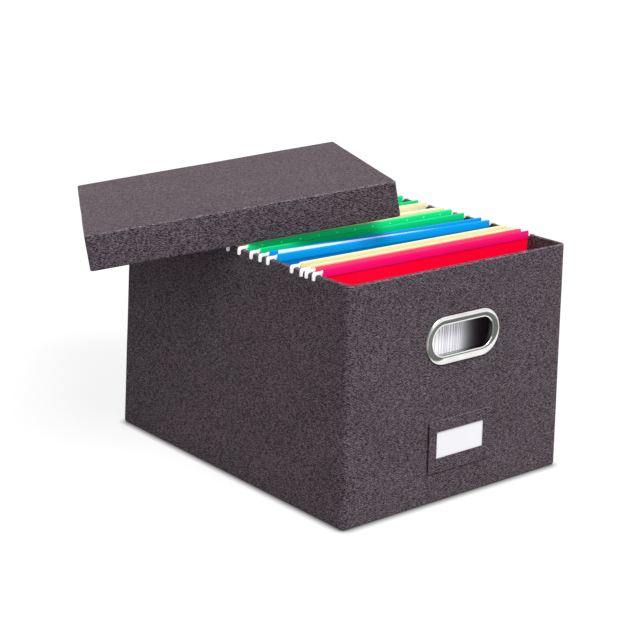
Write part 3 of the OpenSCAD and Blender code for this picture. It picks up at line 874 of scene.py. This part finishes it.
def make_folder(name, colour):
    """One folded sheet with a hem round the rod along the top of both flaps."""
    y0, y1 = flap_places(colour)
    material, slot = FOLDER_STOCK[colour]
    bm = bmesh.new()
    hem = bm.verts.layers.float.new("hem")
    section = folder_section(y0, y1)
    line = [bm.verts.new((-FLAP_W / 2, y, z)) for y, z, part in section]
    for vert, (y, z, part) in zip(line, section):
        vert[hem] = part
    sweep_line(bm, line, FLAP_W, 30)
    middle = (y0 + y1) / 2
    for vert in bm.verts:
        x, y, z = vert.co
        belly = math.sin(math.pi * clamp((z - FOLD_Z) / (HEM_Z - FOLD_Z)))
        spread = 1 if y > middle else -1
        wave = noise.noise(Vector((x / 90, z / 110, y0 / 7 + spread)))
        vert.co.y += belly * (0.9 * wave + 0.7 * spread) * (1 if abs(y - middle) > 1.2 else 0)
        if z > HEM_Z - 3:
            vert.co.y += 0.22 * noise.noise(Vector((x / 70, y0, spread * 3.1)))
    if slot in ("green_sheet", "blue_sheet"):
        add_dots(bm, hem, y1 - HEM_T / 2 + 0.1, 0.75 if slot == "green_sheet" else 0.5)
    bmesh.ops.recalc_face_normals(bm, faces=bm.faces)
    on_rims(bm, colour)
    piece = make_piece(bm, name, colour, material, colour + "_folder", sharp=60)
    give_thickness(piece, FOLDER_SHEET_T)


def add_dots(bm, hem, y, radius):
    """A row of small eyelets along a hem."""
    turn = Matrix.Rotation(math.pi / 2, 4, "X")
    for index in range(DOTS):
        place = Matrix.Translation((DOT_STEP * (index - (DOTS - 1) / 2), y, HEM_Z + 5.2)) @ turn
        dot = bmesh.ops.create_circle(bm, cap_ends=True, segments=12, radius=radius, matrix=place)
        for vert in dot["verts"]:
            vert[hem] = 3


def hook_outline():
    """Half of a rod's outline, over the rim, down the hook and back. Each corner has its rounding."""
    strip_top = FLAP_TOP - (HEM_T - ROD_T) / 2
    end = FLAP_W / 2 + 0.3
    tip_in, tip_out, tip_z = RIM_X + HOOK_GAP, RIM_X + HOOK_GAP + TIP_W, BOX_H - HOOK_DROP
    shoulder_x, shoulder_z = side_x(BOX_H, WALL_T) - 2 * SEAT_GAP, BOX_H - 0.3 * HOOK_DROP
    arch_z = BOX_H + 0.1
    return [
        (end, strip_top, 0), (end + strip_top - HOOK_TOP, HOOK_TOP, 0), (tip_out, HOOK_TOP, 2.9),
        (tip_out, tip_z, 1.55), (tip_in, tip_z, 1.55), (tip_in, arch_z, 2.1), (shoulder_x, arch_z, 0.9),
        (shoulder_x, shoulder_z, 0.5), (end, shoulder_z, 0.5), (end, strip_top - ROD_H, 0),
    ]


def make_rods(name, colour):
    """Two coated strips with a rounded hook over the rim at both ends."""
    bm = bmesh.new()
    half = hook_outline()
    outline = half + [(-x, z, rounding) for x, z, rounding in reversed(half)]
    for place in flap_places(colour):
        verts = [bm.verts.new((x, place + ROD_T / 2, z)) for x, z, rounding in outline]
        bm.faces.new(verts)
        for vert, (x, z, rounding) in zip(verts, outline):
            if rounding:
                bevel(bm, [vert], rounding, 5, "VERTICES")
    thick = bmesh.ops.extrude_face_region(bm, geom=list(bm.faces), use_keep_orig=True)["geom"]
    bmesh.ops.translate(bm, vec=(0, -ROD_T, 0), verts=moved(thick))
    if colour != "rear":
        for vert in bm.verts:
            if abs(vert.co.x) > FLAP_W / 2 + 0.6:
                place = min(flap_places(colour), key=lambda y: abs(y - vert.co.y))
                vert.co.y = place + HOOK_DEPTH * (vert.co.y - place)
    bmesh.ops.recalc_face_normals(bm, faces=bm.faces)
    bevel(bm, creases(bm, 1.2), 0.35, 3)
    on_rims(bm, colour)
    make_piece(bm, name, colour, ROD_COAT, colour + "_rods")


def make_files(name, colour, left, right, dip):
    """White sheets in a folder's fold, lower at the right by the dip.

    At its left and right end, a file leans on the front flap at 0 and on the back flap at 1.
    """
    y0, y1 = flap_places(colour)
    low_z = FOLD_Z + (HEM_Z - FOLD_Z) * (SHEET_T + PAPER_T + 2 * SEAT_GAP) / (y1 - y0)
    front, back = y0 + HEM_T / 2 + SEAT_GAP, y1 - HEM_T / 2 - SEAT_GAP - PAPER_T
    bm = bmesh.new()
    for index in range(FILE_SHEETS):
        high_z = FLAP_TOP + 0.5 - 0.3 * index
        start = len(bm.verts)
        first = -PAPER_W / 2 + 0.3 + 0.5 * index
        line = [bm.verts.new((first, 0, z)) for z in (low_z, (low_z + high_z) / 2, high_z)]
        sweep_line(bm, line, PAPER_W - 0.6 - index, 24)
        bm.verts.ensure_lookup_table()
        for vert in bm.verts[start:]:
            share = vert.co.x / PAPER_W + 0.5
            lean = left + (right - left) * share
            rise = (vert.co.z - low_z) / (high_z - low_z)
            top_y, foot_y = front + lean * (back - front), (front + back) / 2
            vert.co.y = foot_y + (top_y - foot_y) * rise + 0.1 + 0.2 * index
            vert.co.z -= dip * share
    on_rims(bm, colour)
    piece = make_piece(bm, name, colour, SHEET_STOCK, colour + "_file", sharp=60)
    give_thickness(piece, FILE_SHEET_T)


def make_loose_sheets():
    """Sheets behind the front hand hole and a dark board behind them, a painted shade in the box.

    Their right edges are uneven, each with a painted shadow line that is darker higher up. Towards the
    right they bend back and fade into a painted shade.
    """
    bm = bmesh.new()
    painted_shade_layer = bm.verts.layers.float.new("shade")
    left = -(BOX_W / 2 - WALL_T) + 8
    front = -side_y(FLOOR_Z, WALL_T) + 12
    for index, edge in enumerate(SHEET_EDGES):
        first = left + 0.4 * (index % 3)
        top = FLOOR_Z + 215.5 - (index * 7 % 5) * 0.5
        start = len(bm.verts)
        levels = (FLOOR_Z + 0.2, *SHEET_LEVELS, top)
        line = [bm.verts.new((first, front + 0.3 + 0.4 * index, z)) for z in levels]
        sweep_line(bm, line, edge - first, 90)
        bm.verts.ensure_lookup_table()
        for vert in bm.verts[start:]:
            inward = edge - vert.co.x
            # Painted shadow along each sheet's right edge, darker higher up, and painted shade growing to
            # the right
            painted_streak = (inward < 1.2) * clamp((vert.co.z - SHEET_LEVELS[0]) / 40, 0.35)
            painted_fade = clamp((vert.co.x - SHADE_START) / SHADE_REACH)
            vert[painted_shade_layer] = max(painted_streak, 1 - (1 - painted_fade) ** SHADE_POWER)
            bend, curl = max(0.0, (vert.co.x - 14) / 32), max(0.0, 1 - inward / 5)
            vert.co.y += 2.4 * bend ** 2 - 0.5 * curl ** 2
    sheets = len(bm.faces)
    # A dark board behind the sheets as painted shade
    shade_backing = (left + 0.2 + SHADE_BACKING_W / 2, front + 13.3, FLOOR_Z + 0.3 + SHADE_BACKING_H / 2)
    add_cube(bm, shade_backing, (SHADE_BACKING_W, SHADE_BACKING_T, SHADE_BACKING_H))
    bm.faces.ensure_lookup_table()
    bevel(bm, list({e for f in bm.faces[sheets:] for e in f.edges}), 0.15, 1)
    bm.faces.ensure_lookup_table()
    for face in bm.faces:
        face.material_index = int(centre(face).y > shade_backing[1] - 0.4)
    piece = make_piece(bm, "loose_paper_bundle", "sheets", SHEET_STOCK, "loose_sheets", sharp=60)
    piece.data.materials.append(SHADE_BACKING)
    give_thickness(piece, LOOSE_SHEET_T)


make_box_boards()
make_lid_boards()
make_lid_top()
make_base_cover()
make_box_cover()
make_lid_cover()
make_grommet("chrome_ring_front", "front_grommet", False)
make_grommet("chrome_ring_back", "back_grommet", True)
make_label_holder()
make_card()
for colour in FOLDERS:
    make_folder(colour + "_sheet", colour)
    make_rods(colour + "_hooks", colour)
make_files("blue_paper_file", "blue", 0.85, 0.0, 2.2)
make_files("tan_paper_file", "tan", 0.0, 0.0, 0.0)
make_loose_sheets()

# Pieces that keep their mesh from the CAD get a better material
CARRIED = {
    "floor_board": GREYBOARD, "inner_lining": LINING, "lid_lining": LINING,
    "front_grommet_clip": PLATED, "back_grommet_clip": PLATED,
}
for name, material in CARRIED.items():
    materials = cad_nodes[name].data.materials
    materials.clear()
    materials.append(material)


# Studio ---------------------------------------------------------------------------------------


def seen_directly(tree):
    """1 for the camera's rays and for those that metal mirrors or glass lets through."""
    paths = add(tree, "ShaderNodeLightPath", {}).outputs
    some = calc(tree, "ADD", paths["Is Camera Ray"], paths["Is Glossy Ray"])
    return calc(tree, "ADD", some, paths["Is Transmission Ray"], clamped=True)


def make_floor():
    """A pale floor that keeps a soft shadow at the foot of the box, partly real and partly a painted
    shadow in its glow, and is white further out.
    """
    bm = bmesh.new()
    bmesh.ops.create_grid(bm, x_segments=1, y_segments=1, size=12000)
    floor = to_metres(bm, "floor")
    material = bpy.data.materials.new("floor")
    material.use_nodes = True
    tree = material.node_tree
    tree.nodes.clear()
    direct = seen_directly(tree)
    paint = mix(tree, direct, (0.4, 0.4, 0.4, 1), (0.15, 0.15, 0.15, 1))
    diffuse = add(tree, "ShaderNodeBsdfDiffuse", {"Color": paint})
    # Painted contact shadow: the floor's glow is dimmer where the box is near
    near = add(tree, "ShaderNodeAmbientOcclusion", {"Distance": 0.009}, samples=16).outputs["AO"]
    glow_with_painted_shadow = calc(tree, "MULTIPLY", direct, shift(tree, near, 0.45, 1.0, 0.2, 0.85))
    painted_glow = add(tree, "ShaderNodeEmission", {"Color": (1, 1, 1, 1), "Strength": glow_with_painted_shadow})
    both = add(tree, "ShaderNodeAddShader", {0: diffuse.outputs[0], 1: painted_glow.outputs[0]})
    add(tree, "ShaderNodeOutputMaterial", {0: both.outputs[0]})
    floor.data.materials.append(material)


def make_world():
    """White where it is seen directly, and a dimmer light from all round."""
    world = bpy.data.worlds.new("studio")
    bpy.context.scene.world = world
    world.use_nodes = True
    tree = world.node_tree
    tree.nodes.clear()
    dome = add(tree, "ShaderNodeBackground", {"Color": (1, 1, 1, 1), "Strength": 0.6})
    white = add(tree, "ShaderNodeBackground", {"Color": (1, 1, 1, 1), "Strength": 1.0})
    sockets = {0: seen_directly(tree), 1: dome.outputs[0], 2: white.outputs[0]}
    choice = add(tree, "ShaderNodeMixShader", sockets)
    add(tree, "ShaderNodeOutputWorld", {0: choice.outputs[0]})


def make_lamp(name, kind, energy, place, target=(0, 0, 0.13), **settings):
    """A lamp at a place, turned to a target."""
    data = bpy.data.lights.new(name, kind)
    data.energy = energy
    for key, value in settings.items():
        setattr(data, key, value)
    lamp = bpy.data.objects.new(name, data)
    bpy.context.scene.collection.objects.link(lamp)
    lamp.location = place
    lamp.rotation_euler = (Vector(target) - Vector(place)).to_track_quat("-Z", "Y").to_euler()


def make_camera():
    """The photo's camera, as fitted to the box in it."""
    data = bpy.data.cameras.new("camera")
    data.sensor_width = 36.0
    data.lens = 95.46
    data.clip_start, data.clip_end = 0.05, 60.0
    camera = bpy.data.objects.new("camera", data)
    bpy.context.scene.collection.objects.link(camera)
    right = Vector((0.76239, -0.64623, 0.03402)).normalized()
    ahead = Vector((0.62611, 0.72333, -0.29116)).normalized()
    turn = Matrix((right, right.cross(ahead).normalized(), -ahead)).transposed().to_4x4()
    camera.matrix_world = Matrix.Translation((-1.2131, -1.3687, 0.7032)) @ turn
    bpy.context.scene.camera = camera


make_floor()
make_world()
make_lamp("high_light", "SUN", 3.0, (-0.12, -1.2, 2.1), angle=math.radians(35))
make_camera()
bpy.context.scene.view_settings.view_transform = "Standard"
